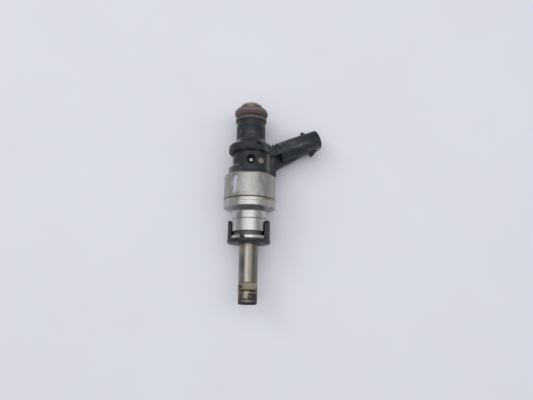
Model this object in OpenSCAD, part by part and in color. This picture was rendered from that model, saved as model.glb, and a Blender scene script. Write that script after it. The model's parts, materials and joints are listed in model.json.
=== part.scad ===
// Fuel injector of a direct-injection petrol engine, lying on its side.
// The long axis is Y: fuel enters at the +Y end and leaves at the tip at the -Y end.
// The origin is on that axis, in the face that seats in the cylinder head. Z is up.
// Azimuths are degrees about Y, from +Z towards +X. Profiles are [radius, y] points.

/* [Steel body] */
// Radius of the coil housing and of the flange below it
housing_r = 10.4; // [10.2:0.1:10.8]
// Where the coil housing meets the flange
joint_y = 17.5; // [17.4:0.1:17.6]
// Top of the coil housing
housing_top_y = 27.6; // [27.5:0.1:27.8]
// Radius of the steel neck between the flange and the clip
neck_r = 6.95; // [6.8:0.05:7]

/* [Nozzle] */
// Radius of the nozzle shaft
shaft_r = 3.75; // [3.6:0.05:3.8]
// Depth of the spray tip below the seating face
tip_depth = 23.5; // [23.4:0.1:24]
// Length of the groove that holds the combustion seal
seal_w = 3; // [2.8:0.1:3.2]

/* [Valve] */
// Radius of the valve needle
needle_r = 1; // [0.9:0.05:1.05]
// Radius of the valve ball
ball_r = 1.5; // [1.45:0.01:1.55]
// Radius of the armature
armature_r = 4.72; // [4.7:0.01:4.74]
// Travel of the armature
armature_lift = 0.12; // [0.08:0.01:0.15]
// Travel of the needle
needle_lift = 0.07; // [0.04:0.01:0.08]

/* [Fuel inlet] */
// Outer radius of the inlet tube
inlet_r = 3.43; // [3.4:0.01:3.45]
// Radius of the fuel bore
bore_r = 2.3; // [2.25:0.05:2.35]
// Height of the inlet end above the seating face
inlet_y = 58.7; // [58.6:0.1:59.2]
// Radius of the rail seal's section
o_ring_section_r = 1.75; // [1.7:0.01:1.76]

/* [Plastic] */
// Radius of the plastic round the inlet tube
cap_neck_r = 6; // [5.9:0.05:6.1]
// Radius of the collar at the foot of that neck
collar_r = 8.9; // [8.8:0.05:9.1]
// Radius of the plastic between the collar and the steel
barrel_r = 7.12; // [7.05:0.01:7.3]

/* [Plug socket] */
// How far the socket leans towards the inlet, in degrees
plug_lean = 22.8; // [22:0.2:24]
// How far the socket is turned down about the long axis, in degrees
plug_roll = 10; // [8:0.5:10]
// Width of the socket
shell_w = 8.2; // [8:0.1:8.4]
// Height of the socket
shell_h = 10.8; // [10.6:0.1:11]
// Length of the socket
shell_len = 16.8; // [16.4:0.1:17]
// Thickness of the socket's wall
shell_wall = 0.8; // [0.7:0.05:0.85]

/* [Support clip] */
// Radius of the clip's base
clip_r = 8.65; // [8.6:0.05:8.8]
// Height of the clip's fingers
finger_top_y = 9.2; // [8.8:0.1:9.4]
// Azimuth of the nub on the clip's rim
nub_azimuth = -17.5; // [-25:0.5:0]

/* [Hidden] */
round_fn = 96;
small_fn = 48;
fit = 0.25;          // gap between the clip's pieces and the steel
run = 0.06;          // running gap of the needle in its guides
seat_y = 3.15;       // face of the steel that the washer bears on
undercut_y = 4.7;    // top of the undercut that the clip snaps into
undercut_r = 6.2;
cone_y = 12.6;       // foot of the cone between the neck and the flange
flange_y = 14;       // underside of the flange
chamber_r = 4.8;     // bore that the armature slides in
chamber_y = 12.4;    // floor of that bore
armature_y = 14;
armature_top_y = 19.3;
pole_y = armature_top_y + armature_lift + 0.02;
collar_y = armature_top_y + armature_lift - needle_lift + 0.01;
sleeve_top_y = 21;   // top of the non-magnetic sleeve
spigot_r = 3.5;      // top of the nozzle shaft, pressed into the steel
shaft_top_y = 6.5;
coil_y = [17.9, 25.9];
coil_r = [5.6, 8.9];
wall_r = 9.1;        // inside of the coil housing
plate_y = 26.1;      // underside of the flux plate
pole_r = 5.5;
tube_y = 31;         // where the inlet tube stands on the pole piece
tip_y = -tip_depth;
groove_y = [-18.05, -18.05 + seal_w];
groove_r = 3;
seat_half_angle = 50;
ball_y = tip_y + 2.3;
ball_flat_y = ball_y + sqrt(ball_r * ball_r - needle_r * needle_r);
cap_y = 37;          // where the two plastic mouldings meet
cap_top_y = 48;
ring_y = [48, 51, 53];
boss_x = [6, 10.2];
boss_half_h = 4.1;
boss_top_y = cap_y - 0.15;
foot_r = 9.2;
terminal_x = 7.6;
terminal_z = 2;
terminal_t = [0.8, 0.64];
shell_at = [12.7, 38.63];
shell_start = -1.3;
cavity_depth = 11;
pin_recess = 5.2;
port_at = [0.5, 33.2];
port_ball_r = 1.4;
port_ball_z = 4.9;
rivet_azimuth = 39;
rivet_y = 32.9;
base_top_y = 1.65;
finger_r = [7.3, 8.4];
finger_azimuths = [82, -98];
finger_half_angle = 19;
finger_tip_r = 1.8;
nub_half_w = 0.75;
nub_top_y = 3.1;

// A profile turned about the long axis
module turned(points) {
    rotate([-90, 0, 0]) rotate_extrude($fn = round_fn) polygon(points);
}

// A plain ring about the long axis
module ring(inner, outer, y0, y1) {
    turned([[inner, y0], [outer, y0], [outer, y1], [inner, y1]]);
}

// A rod along Y from y0 to y1
module rod(r, y0, y1) {
    translate([0, y0, 0]) rotate([-90, 0, 0]) cylinder(r = r, h = y1 - y0, $fn = small_fn);
}

// Turns +Z to an azimuth
module at_azimuth(a) {
    rotate([0, a, 0]) children();
}

// Copies at equal steps about the long axis
module around(count, start = 0) {
    for (i = [0 : count - 1]) at_azimuth(start + 360 * i / count) children();
}

// Points of an arc about a centre
function arc(centre, r, from, to, steps = 8) = [
    for (i = [0 : steps])
        let (a = from + (to - from) * i / steps)
        centre + r * [cos(a), sin(a)]
];

// A round-wire compression spring along Y, whose wire's centre runs from y0 to y1
module coil_spring(r, wire, y0, y1, turns) {
    sides = 8;
    steps = 14 * turns;
    points = [
        for (i = [0 : steps], j = [0 : sides - 1])
            let (a = 360 * turns * i / steps, t = 360 * j / sides, d = r + wire * cos(t))
            [d * cos(a), y0 + (y1 - y0) * i / steps + wire * sin(t), d * sin(a)]
    ];
    skin = [
        for (i = [0 : steps - 1], j = [0 : sides - 1])
            let (k = (j + 1) % sides)
            [i * sides + j, (i + 1) * sides + j, (i + 1) * sides + k, i * sides + k]
    ];
    first = [[for (j = [0 : sides - 1]) j]];
    last = [[for (j = [0 : sides - 1]) steps * sides + sides - 1 - j]];
    polyhedron(points = points, faces = concat(skin, first, last));
}

// The frame of the plug: X0-Y plane through the long axis, rolled about it
module rolled() {
    rotate([0, plug_roll, 0]) children();
}

// The frame of the socket: X along it to its mouth, Z across its height
module socket_frame() {
    rolled() translate([shell_at.x, shell_at.y, 0]) rotate([0, 0, plug_lean]) children();
}

// A shape with round ends, w wide and h high, drawn in YZ and run along X
module stadium(w, h, x0, x1) {
    translate([x0, 0, 0]) rotate([90, 0, 90]) linear_extrude(x1 - x0) {
        for (side = [-1, 1]) translate([0, side * (h - w) / 2]) circle(d = w, $fn = small_fn);
        square([w, h - w], center = true);
    }
}

// A rectangle in XY with rounded corners
module rounded_square(low, high, r) {
    translate(low + [r, 0]) square(high - low - [2 * r, 0]);
    translate(low + [0, r]) square(high - low - [0, 2 * r]);
    for (x = [low.x + r, high.x - r], y = [low.y + r, high.y - r]) {
        translate([x, y]) circle(r = r, $fn = small_fn);
    }
}

// ---- Fuel inlet ----

module inlet_tube() {
    flange_r = 4.8;
    flange_y = ring_y[2] + 2 * o_ring_section_r + 0.05;
    color("silver") turned([
        [bore_r, tube_y], [inlet_r, tube_y], [inlet_r, flange_y], [flange_r - 0.15, flange_y],
        [flange_r, flange_y + 0.2], [flange_r, inlet_y - 1.1], [flange_r - 0.8, inlet_y],
        [bore_r + 0.6, inlet_y], [bore_r, inlet_y - 0.6]
    ]);
}

module rail_o_ring() {
    color("#5d4a4c") translate([0, ring_y[2] + o_ring_section_r, 0]) rotate([-90, 0, 0])
        rotate_extrude($fn = round_fn) translate([inlet_r + 0.02 + o_ring_section_r, 0])
            circle(r = o_ring_section_r, $fn = small_fn);
}

module support_ring() {
    color("#6b675e") turned([
        [inlet_r + 0.05, ring_y[1]], [6.3, ring_y[1]], [6.45, ring_y[1] + 0.15],
        [6.45, ring_y[1] + 1.2], [5.9, ring_y[2] - 0.3], [5.2, ring_y[2]],
        [inlet_r + 0.05, ring_y[2]]
    ]);
}

module spacer_ring() {
    color("#2a2b2e") turned([
        [inlet_r, ring_y[0]], [5.85, ring_y[0]], [6, ring_y[0] + 0.15], [6, ring_y[1] - 0.15],
        [5.85, ring_y[1]], [inlet_r, ring_y[1]]
    ]);
}

filter_y = [46, 46.8, 55.6, 57];
filter_r = 1.3;

module filter_frame() {
    color("white") {
        turned([
            [filter_r, filter_y[2]], [bore_r, filter_y[2]], [bore_r, filter_y[3]],
            [1.8, filter_y[3]], [filter_r, filter_y[2] + 0.6]
        ]);
        rod(1.9, filter_y[0], filter_y[1]);
        difference() {
            around(3) translate([-0.2, filter_y[1] - 0.3, 0])
                cube([0.4, filter_y[2] - filter_y[1] + 0.6, 1.7]);
            rod(filter_r, filter_y[1], filter_y[2] + 1);
        }
    }
}

module filter_mesh() {
    color("lightgrey") ring(filter_r - 0.2, filter_r, filter_y[1], filter_y[2]);
}

// ---- Magnet and valve ----

sleeve_y = [26.5, 33];

module adjusting_sleeve() {
    color("silver") difference() {
        ring(1.2, bore_r, sleeve_y[0], sleeve_y[1]);
        translate([0, sleeve_y[0] - 1, -0.25]) cube([5, 9, 0.5]);
    }
}

module return_spring() {
    wire = 0.28;
    clear = 0.12;
    color("silver") coil_spring(1.55, wire, collar_y + 0.95 + wire + clear,
        sleeve_y[0] - wire - 0.02, 5.5);
}

module pole_piece() {
    color("silver") turned([
        [bore_r, pole_y], [chamber_r, pole_y], [chamber_r, sleeve_top_y], [pole_r, sleeve_top_y],
        [pole_r, 28.6], [4.3, 28.6], [4.3, tube_y], [bore_r, tube_y]
    ]);
}

module spacer_sleeve() {
    color("lightgrey") ring(chamber_r, pole_r, joint_y, sleeve_top_y);
}

spring_pocket_y = 17.3;

module armature() {
    color("silver") difference() {
        turned([
            [needle_r + run, armature_y], [armature_r - 0.3, armature_y],
            [armature_r, armature_y + 0.3], [armature_r, armature_top_y - 0.3],
            [armature_r - 0.3, armature_top_y], [1.7, armature_top_y],
            [1.7, spring_pocket_y], [needle_r + run, spring_pocket_y]
        ]);
        around(4, 45) translate([0, 0, 3.2]) rod(0.6, armature_y - 1, armature_top_y + 1);
    }
}

module armature_spring() {
    wire = 0.14;
    color("silver") coil_spring(1.38, wire, spring_pocket_y + wire + 0.01,
        collar_y - wire - 0.08, 3.5);
}

module needle() {
    color("silver") turned([
        [0, ball_flat_y], [needle_r, ball_flat_y], [needle_r, collar_y], [2.1, collar_y],
        [2.1, collar_y + 0.95], [needle_r - 0.1, collar_y + 0.95],
        [needle_r - 0.1, collar_y + 1.8], [0, collar_y + 1.8]
    ]);
}

module stop_ring() {
    color("silver") ring(needle_r, 1.9, armature_y - 1.1, armature_y - 0.04);
}

// A bearing ball with a flat ground where the needle is welded to it
module valve_ball() {
    color("silver") difference() {
        translate([0, ball_y, 0]) sphere(r = ball_r, $fn = small_fn);
        translate([-2, ball_flat_y, -2]) cube(4);
    }
}

module guide_disc() {
    color("lightgrey") difference() {
        ring(needle_r + run, bore_r, groove_y[0], groove_y[0] + 1);
        around(4) translate([0, 0, 1.72]) rod(0.3, groove_y[0] - 1, groove_y[0] + 2);
    }
}

module seat_body() {
    outer_r = shaft_r - 0.03;
    cup_r = 1.9;
    sac_r = 0.7;
    sac_y = ball_y - ball_r - 0.15;
    touch = (ball_r + 0.02) * [cos(seat_half_angle), -sin(seat_half_angle)];
    function cone_y_at(r) = ball_y + touch.y + (r - touch.x) / tan(seat_half_angle);
    color("#4c453f") difference() {
        turned([
            [0, tip_y], [outer_r - 0.55, tip_y], [outer_r - 0.1, tip_y + 0.3],
            [outer_r, tip_y + 0.75], [outer_r, groove_y[0]], [cup_r, groove_y[0]],
            [cup_r, cone_y_at(cup_r)], [sac_r, cone_y_at(sac_r)], [sac_r, sac_y], [0, sac_y]
        ]);
        around(6) translate([0, sac_y + 0.1, 0.4]) rotate([118, 0, 0])
            cylinder(r = 0.12, h = 3, $fn = 24);
    }
}

module nozzle_tube() {
    color("#8f8c86") turned([
        [bore_r, groove_y[0]], [groove_r, groove_y[0]], [groove_r, groove_y[1]],
        [shaft_r - 0.12, groove_y[1]], [shaft_r, groove_y[1] + 0.12], [shaft_r, 0.1],
        [spigot_r, 0.25], [spigot_r, shaft_top_y], [bore_r, shaft_top_y]
    ]);
}

module valve_body() {
    line_y = 9.65;
    color("#a9a9aa") turned([
        [spigot_r, seat_y], [undercut_r, seat_y], [undercut_r, undercut_y],
        [neck_r - 0.1, undercut_y], [neck_r, undercut_y + 0.1], [neck_r, line_y - 0.18],
        [neck_r - 0.15, line_y - 0.1], [neck_r - 0.15, line_y + 0.1], [neck_r, line_y + 0.18],
        [neck_r, cone_y], [housing_r - 0.15, flange_y - 0.05], [housing_r, flange_y + 0.15],
        [housing_r, joint_y - 0.12], [housing_r - 0.12, joint_y], [chamber_r, joint_y],
        [chamber_r, chamber_y], [bore_r + 0.1, chamber_y], [bore_r + 0.1, shaft_top_y],
        [spigot_r, shaft_top_y]
    ]);
}

module combustion_seal() {
    color("#8d8371") turned([
        [groove_r + 0.02, groove_y[0] + 0.06], [3.66, groove_y[0] + 0.06],
        [3.78, groove_y[0] + 0.3], [3.78, groove_y[1] - 0.35], [3.6, groove_y[1] - 0.06],
        [groove_r + 0.02, groove_y[1] - 0.06]
    ]);
}

// ---- Coil ----

module coil_bobbin() {
    core_r = coil_r[0] + 0.6;
    color("#3a3a3c") turned([
        [coil_r[0], coil_y[0]], [coil_r[1], coil_y[0]], [coil_r[1], coil_y[0] + 0.8],
        [core_r, coil_y[0] + 0.8], [core_r, coil_y[1] - 0.8], [coil_r[1], coil_y[1] - 0.8],
        [coil_r[1], coil_y[1]], [coil_r[0], coil_y[1]]
    ]);
}

module coil_winding() {
    color("#b06a3b") ring(coil_r[0] + 0.6, coil_r[1] - 0.35, coil_y[0] + 0.8, coil_y[1] - 0.8);
}

function unit(v) = v / norm(v);
function left_of(v) = [-v.y, v.x];

// Where the side of a bar, at a distance from its middle, turns the corner from ab to bc
function mitre(a, b, c, side) =
    let (u = left_of(unit(b - a)), m = unit(u + left_of(unit(c - b))))
    b + m * side / (m * u);

// A terminal from the coil up beside the pole piece and out into the socket
module terminal(side) {
    h = terminal_t[0] / 2;
    start = [terminal_x, coil_y[1]];
    bend = [terminal_x, 35.4];
    along = [cos(plug_lean), sin(plug_lean)];
    pin_end = shell_at + (shell_len - pin_recess) * along;
    rolled() translate([0, 0, side * terminal_z]) linear_extrude(terminal_t[1], center = true)
        polygon([
            start + [-h, 0], mitre(start, bend, shell_at, h), mitre(bend, shell_at, pin_end, h),
            pin_end + h * left_of(along), pin_end + 0.4 * along + 0.5 * h * left_of(along),
            pin_end + 0.4 * along - 0.5 * h * left_of(along), pin_end - h * left_of(along),
            mitre(bend, shell_at, pin_end, -h), mitre(start, bend, shell_at, -h), start + [h, 0]
        ]);
}

module terminal_a() {
    color("#c9b27c") terminal(1);
}

module terminal_b() {
    color("#c9b27c") terminal(-1);
}

module coil_housing() {
    color("#9a9997") turned([
        [wall_r, joint_y], [housing_r - 0.12, joint_y], [housing_r, joint_y + 0.12],
        [housing_r, housing_top_y - 1], [housing_r - 0.12, housing_top_y - 0.68],
        [housing_r - 0.5, housing_top_y - 0.25], [housing_r - 1, housing_top_y],
        [wall_r, housing_top_y]
    ]);
}

module flux_plate() {
    color("silver") difference() {
        ring(pole_r, wall_r, plate_y, housing_top_y);
        rolled() translate([6.6, plate_y - 1, -2.8]) cube([1.8, 4, 5.6]);
    }
}

// ---- Plastic ----

// The window and its pocket for the ball, and the pocket for the rivet
module barrel_pockets() {
    translate([port_at.x, port_at.y, 0]) {
        translate([0, 0, port_ball_z]) cylinder(r = 1.85, h = 5, $fn = small_fn);
        translate([0, 0, port_ball_z - port_ball_r])
            cylinder(r = port_ball_r + 0.02, h = 5, $fn = small_fn);
    }
    at_azimuth(rivet_azimuth) translate([0, rivet_y, 5.6]) cylinder(r = 1.25, h = 4, $fn = small_fn);
}

// The barrel, with a foot that laps over the top of the coil housing
module barrel() {
    turned([
        [pole_r, housing_top_y], [foot_r, housing_top_y], [foot_r, housing_top_y + 0.5],
        [barrel_r + 0.4, housing_top_y + 1], [barrel_r, housing_top_y + 1.6], [barrel_r, cap_y],
        [inlet_r, cap_y], [inlet_r, tube_y], [4.3, tube_y], [4.3, 28.6], [pole_r, 28.6]
    ]);
}

// The raised pad on the foot, on the side away from the socket
module pad() {
    r = 8.9;
    top_y = housing_top_y + 3.6;
    half_w = 5.3;
    intersection() {
        turned(concat([[6, housing_top_y + 0.2], [r + 0.1, housing_top_y + 0.2]],
            arc([r - 1.1, top_y - 1.1], 1.1, 0, 90, 5), [[6, top_y]]));
        at_azimuth(-62) translate([0, 0, 3]) linear_extrude(8)
            rounded_square([-half_w, housing_top_y - 4], [half_w, top_y + 0.2], 1.6);
    }
}

// The pillar beside the barrel that the socket's arm leaves from
module boss() {
    rolled() intersection() {
        translate([0, housing_top_y + 0.05, 0]) rotate([-90, 0, 0])
            linear_extrude(boss_top_y - housing_top_y)
                rounded_square([boss_x[0], -boss_half_h], [boss_x[1], boss_half_h], 1.2);
        translate([0, 0, -boss_half_h]) linear_extrude(2 * boss_half_h)
            rounded_square([boss_x[0] - 4, housing_top_y - 2], [boss_x[1], boss_top_y], 0.8);
    }
}

// The arm from the pillar to the socket, and the web under it
module arm() {
    socket_frame() intersection() {
        stadium(shell_w, shell_h, -6, shell_start);
        difference() {
            translate([-7, -1.3, -3.2]) cube([8, 6, 10]);
            translate([shell_start - 1, 2.4, 0.5]) cube([1.4, 3, 6]);
        }
    }
    rolled() translate([0, 0, -4.2]) linear_extrude(4.4) polygon([
        [9, 29], [10.2, 29], [11.5, 31.9], [18.5, 35.9], [23, 38.9], [16, 40], [9, 36.5]
    ]);
}

module socket_shell() {
    socket_frame() {
        stadium(shell_w, shell_h, shell_start, shell_len);
        translate([shell_len - 5.7, shell_w / 2 - 0.3, -1]) linear_extrude(2)
            polygon([[0, 0], [2.6, 0], [1, 1.6], [0.4, 1.6]]);
        translate([shell_len - 5, -shell_w / 2 + 0.4, -1.9]) linear_extrude(3.8)
            polygon([[0, 0], [3.4, 0], [3, -0.6], [0.9, -1.9], [0.3, -1.9]]);
    }
}

module plug_body() {
    color("#2c2d31") difference() {
        union() {
            barrel();
            difference() {
                union() {
                    boss();
                    arm();
                    socket_shell();
                }
                rod(barrel_r - 0.5, housing_top_y - 1, cap_y + 9);
                rod(collar_r + 0.05, cap_y - 0.05, cap_y + 6);
            }
            pad();
        }
        barrel_pockets();
        socket_frame() stadium(shell_w - 2 * shell_wall, shell_h - 2 * shell_wall,
            shell_len - cavity_depth, shell_len + 1);
        terminal(1);
        terminal(-1);
    }
}

module neck_cap() {
    edge = [collar_r - 0.9, 39.6];
    color("#2c2d31") turned(concat(
        [[inlet_r, cap_y], [collar_r - 0.5, cap_y], [collar_r - 0.1, cap_y + 0.3]],
        [[collar_r, cap_y + 0.7]],
        arc(edge, 0.9, 0, 55, 5),
        [[cap_neck_r + 0.35, 42], [cap_neck_r + 0.08, 42.35], [cap_neck_r, 42.8]],
        [[cap_neck_r, cap_top_y - 0.2], [cap_neck_r - 0.2, cap_top_y], [inlet_r, cap_top_y]]
    ));
}

module port_ball() {
    color("white") translate([port_at.x, port_at.y, port_ball_z])
        sphere(r = port_ball_r, $fn = small_fn);
}

module contact_rivet() {
    color("#b98f78") at_azimuth(rivet_azimuth) translate([0, rivet_y, 5.6])
        cylinder(r = 1.25, h = 1.75, $fn = small_fn);
}

// ---- Seat ----

module seat_washer() {
    color("#c9c6be") turned([
        [shaft_r + fit, base_top_y + 0.02], [7, base_top_y + 0.02], [7.2, base_top_y + 0.2],
        [7.2, seat_y - 0.25], [7, seat_y - 0.05],
        [shaft_r + fit, seat_y - 0.05]
    ]);
}

// One upright finger with a rounded tip and a barb that snaps into the undercut
module finger() {
    half_w = finger_r[1] * sin(finger_half_angle);
    intersection() {
        ring(finger_r[0], finger_r[1], 1, finger_top_y + 1);
        translate([0, 0, 3]) linear_extrude(7)
            rounded_square([-half_w, -2], [half_w, finger_top_y], finger_tip_r);
    }
    intersection() {
        ring(undercut_r + fit, finger_r[0] + 0.5, seat_y + 0.3, undercut_y - 0.3);
        translate([0, 0, 4]) linear_extrude(6) square([2.4, 20], center = true);
    }
}

module nub() {
    intersection() {
        ring(finger_r[0], finger_r[1], 1, nub_top_y + 1);
        translate([0, 0, 4]) linear_extrude(6)
            rounded_square([-nub_half_w, -1], [nub_half_w, nub_top_y], nub_half_w - 0.05);
    }
}

module support_clip() {
    color("#25262a") {
        turned([
            [shaft_r + fit, 0], [clip_r - 0.6, 0], [clip_r, 0.6],
            [finger_r[1] + 0.12, base_top_y],
            [shaft_r + fit, base_top_y]
        ]);
        for (a = finger_azimuths) at_azimuth(a) finger();
        at_azimuth(nub_azimuth) nub();
    }
}

inlet_tube();
rail_o_ring();
support_ring();
spacer_ring();
filter_frame();
filter_mesh();
adjusting_sleeve();
return_spring();
pole_piece();
spacer_sleeve();
armature();
armature_spring();
needle();
stop_ring();
valve_ball();
guide_disc();
seat_body();
nozzle_tube();
valve_body();
combustion_seal();
coil_bobbin();
coil_winding();
terminal_a();
terminal_b();
coil_housing();
flux_plate();
plug_body();
neck_cap();
port_ball();
contact_rivet();
seat_washer();
support_clip();
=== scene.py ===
"""Looks of a direct-injection fuel injector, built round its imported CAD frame.

Shapes are drawn in millimetres and scaled to metres when a piece is finished. The long axis is Y, from the
spray tip to the fuel inlet, and Z is up. Profiles are (radius, y) corners, with a third number where the
corner is rounded.
"""
import json
from math import cos, pi, radians, sin

import bmesh
import bpy
from mathutils import Matrix, Vector


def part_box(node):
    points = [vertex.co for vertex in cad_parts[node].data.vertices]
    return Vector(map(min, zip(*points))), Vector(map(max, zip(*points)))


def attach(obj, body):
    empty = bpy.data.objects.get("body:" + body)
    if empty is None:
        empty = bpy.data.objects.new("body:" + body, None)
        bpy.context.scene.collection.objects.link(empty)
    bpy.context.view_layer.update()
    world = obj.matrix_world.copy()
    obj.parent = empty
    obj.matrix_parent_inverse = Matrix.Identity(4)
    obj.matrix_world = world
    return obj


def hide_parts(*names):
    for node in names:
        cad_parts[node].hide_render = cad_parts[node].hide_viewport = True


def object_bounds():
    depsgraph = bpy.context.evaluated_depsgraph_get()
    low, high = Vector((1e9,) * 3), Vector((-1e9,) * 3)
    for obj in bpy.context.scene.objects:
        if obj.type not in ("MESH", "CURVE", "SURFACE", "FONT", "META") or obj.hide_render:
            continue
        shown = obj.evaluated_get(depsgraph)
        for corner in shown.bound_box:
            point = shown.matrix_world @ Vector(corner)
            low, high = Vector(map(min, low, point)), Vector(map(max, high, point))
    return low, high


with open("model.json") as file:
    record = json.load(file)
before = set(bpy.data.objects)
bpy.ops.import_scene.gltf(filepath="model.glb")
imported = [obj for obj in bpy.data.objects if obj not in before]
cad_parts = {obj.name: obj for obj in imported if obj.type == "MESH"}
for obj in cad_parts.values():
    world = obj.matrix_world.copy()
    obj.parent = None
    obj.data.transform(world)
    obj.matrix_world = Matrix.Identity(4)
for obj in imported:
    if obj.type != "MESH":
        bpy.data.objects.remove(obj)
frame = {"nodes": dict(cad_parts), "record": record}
cad_low, cad_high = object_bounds()

MM = 0.001
ROUND = 128          # steps in a full turn
SMALL_ROUND = 48     # steps in a small round piece
ARC = 6              # steps in a rounded corner
SHARP = radians(32)  # faces that meet at more than this keep a crisp edge
ROLL = 10            # the socket's turn about the long axis, degrees
LEAN = 22.8          # the socket's lean towards the inlet, degrees
GROOVE = 9.65        # height of the ring groove in the valve housing


# ---- Sizes read from the frame ----

def span(node):
    """(lowest y, highest y, largest radius) of a node that is turned about the long axis, in millimetres."""
    low, high = (Vector(corner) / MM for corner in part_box(node))
    return low.y, high.y, (high.x - low.x) / 2


def middle(node):
    """The middle of a node's box, in millimetres."""
    low, high = (Vector(corner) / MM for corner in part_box(node))
    return (low + high) / 2


# ---- Modelling ----

def outline(corners, closed=True):
    """A wire outline in the XY plane, with its corners rounded where they say so."""
    bm = bmesh.new()
    verts = [bm.verts.new((corner[0], corner[1], 0)) for corner in corners]
    for start, end in zip(verts, verts[1:] + verts[:1] if closed else verts[1:]):
        bm.edges.new((start, end))
    for vert, corner in zip(verts, corners):
        if len(corner) == 3:
            bmesh.ops.bevel(bm, geom=[vert], offset=corner[2], offset_type="OFFSET", segments=ARC,
                            profile=0.5, affect="VERTICES", material=-1)
    return bm


def tidied(bm):
    bmesh.ops.remove_doubles(bm, verts=bm.verts, dist=1e-4)
    bmesh.ops.recalc_face_normals(bm, faces=bm.faces)
    return bm


def spun(bm, steps=ROUND):
    """A wire outline taken once round the long axis."""
    bmesh.ops.spin(bm, geom=bm.verts[:] + bm.edges[:], cent=(0, 0, 0), axis=(0, 1, 0), dvec=(0, 0, 0),
                   angle=2 * pi, steps=steps, use_merge=True, use_duplicate=False)
    return tidied(bm)


def turned(corners, closed=True, steps=ROUND):
    """A profile spun about the long axis. An open profile starts and ends on that axis."""
    return spun(outline(corners, closed), steps)


def slab(corners, low, high, edge=0.0):
    """An outline in XY made into a slab from low to high in Z, with its two rims rounded."""
    bm = outline(corners)
    bmesh.ops.remove_doubles(bm, verts=bm.verts, dist=1e-4)
    made = bmesh.ops.contextual_create(bm, geom=bm.edges[:])
    grown = bmesh.ops.extrude_face_region(bm, geom=made["faces"])
    verts = [item for item in grown["geom"] if isinstance(item, bmesh.types.BMVert)]
    bmesh.ops.translate(bm, verts=verts, vec=(0, 0, high - low))
    bmesh.ops.translate(bm, verts=bm.verts, vec=(0, 0, low))
    tidied(bm)
    if edge:
        rims = [e for e in bm.edges if abs(e.verts[0].co.z - e.verts[1].co.z) < 1e-6]
        rounded(bm, rims, edge, 3)
    return bm


def rounded(bm, edges, radius, segments=ARC):
    bmesh.ops.bevel(bm, geom=edges, offset=radius, offset_type="OFFSET", segments=segments, profile=0.5,
                    affect="EDGES", clamp_overlap=True, material=-1)
    return bm


def stadium(width, height, start, end, rims=(0.0, 0.0)):
    """A bar along X with round ends, width across Y and height across Z, and each end's rim rounded."""
    bm = bmesh.new()
    bmesh.ops.create_circle(bm, cap_ends=True, segments=72, radius=width / 2)
    bmesh.ops.rotate(bm, verts=bm.verts, cent=(0, 0, 0), matrix=Matrix.Rotation(pi / 72, 3, "Z"))
    for side in (-1, 1):
        bmesh.ops.translate(bm, verts=[v for v in bm.verts if v.co.y * side > 0],
                            vec=(0, side * (height - width) / 2, 0))
    bmesh.ops.rotate(bm, verts=bm.verts, cent=(0, 0, 0), matrix=Matrix.Rotation(pi / 2, 3, "X"))
    bmesh.ops.rotate(bm, verts=bm.verts, cent=(0, 0, 0), matrix=Matrix.Rotation(pi / 2, 3, "Z"))
    grown = bmesh.ops.extrude_face_region(bm, geom=bm.faces[:])
    verts = [item for item in grown["geom"] if isinstance(item, bmesh.types.BMVert)]
    bmesh.ops.translate(bm, verts=verts, vec=(end - start, 0, 0))
    bmesh.ops.translate(bm, verts=bm.verts, vec=(start, 0, 0))
    tidied(bm)
    for place, radius in zip((start, end), rims):
        if radius:
            rounded(bm, [e for e in bm.edges if all(abs(v.co.x - place) < 1e-5 for v in e.verts)], radius, 4)
    return bm


def block(low, high, edge=0.0):
    """A box between two corners, with its edges rounded."""
    low, high = Vector(low), Vector(high)
    bm = bmesh.new()
    bmesh.ops.create_cube(bm, size=1)
    bmesh.ops.scale(bm, verts=bm.verts, vec=high - low)
    bmesh.ops.translate(bm, verts=bm.verts, vec=(low + high) / 2)
    return rounded(bm, bm.edges[:], edge, 3) if edge else bm


def rod(radius, length, steps=SMALL_ROUND):
    """A round cutter along Z from 0 to its length."""
    bm = bmesh.new()
    bmesh.ops.create_cone(bm, cap_ends=True, segments=steps, radius1=radius, radius2=radius, depth=length)
    bmesh.ops.translate(bm, verts=bm.verts, vec=(0, 0, length / 2))
    return bm


def placed(bm, matrix):
    bmesh.ops.transform(bm, matrix=matrix, verts=bm.verts)
    return bm


def azimuth(angle):
    """A turn about the long axis that takes up (+Z) towards +X."""
    return Matrix.Rotation(radians(angle), 4, "Y")


def scratch(bm):
    """A hidden object that holds a mesh while it is joined or cut."""
    mesh = bpy.data.meshes.new("scratch")
    bm.to_mesh(mesh)
    bm.free()
    holder = bpy.data.objects.new("scratch", mesh)
    bpy.context.scene.collection.objects.link(holder)
    return holder


def combined(base, others, operation):
    """One mesh made of a base and others by UNION, DIFFERENCE or INTERSECT."""
    holders = [scratch(bm) for bm in [base, *others]]
    for other in holders[1:]:
        step = holders[0].modifiers.new(operation, "BOOLEAN")
        step.operation, step.object, step.solver = operation, other, "EXACT"
    result = bmesh.new()
    result.from_object(holders[0], bpy.context.evaluated_depsgraph_get())
    for holder in holders:
        mesh = holder.data
        bpy.data.objects.remove(holder)
        bpy.data.meshes.remove(mesh)
    bmesh.ops.remove_doubles(result, verts=result.verts, dist=1e-4)
    bmesh.ops.dissolve_degenerate(result, edges=result.edges, dist=1e-4)
    return result


def finished(bm, name, body, slot, material, *nodes):
    """Turns a mesh in millimetres into a piece in metres that rides a body and stands for CAD nodes."""
    bmesh.ops.scale(bm, verts=bm.verts, vec=(MM, MM, MM))
    mesh = bpy.data.meshes.new(name)
    bm.to_mesh(mesh)
    bm.free()
    mesh.shade_smooth()
    mesh.set_sharp_from_angle(angle=SHARP)
    mesh.materials.append(material)
    piece = bpy.data.objects.new(name, mesh)
    bpy.context.scene.collection.objects.link(piece)
    shading = piece.modifiers.new("even shading", "WEIGHTED_NORMAL")
    shading.keep_sharp = True
    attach(piece, body)
    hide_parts(*nodes)


# ---- Shader maths ----

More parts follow.
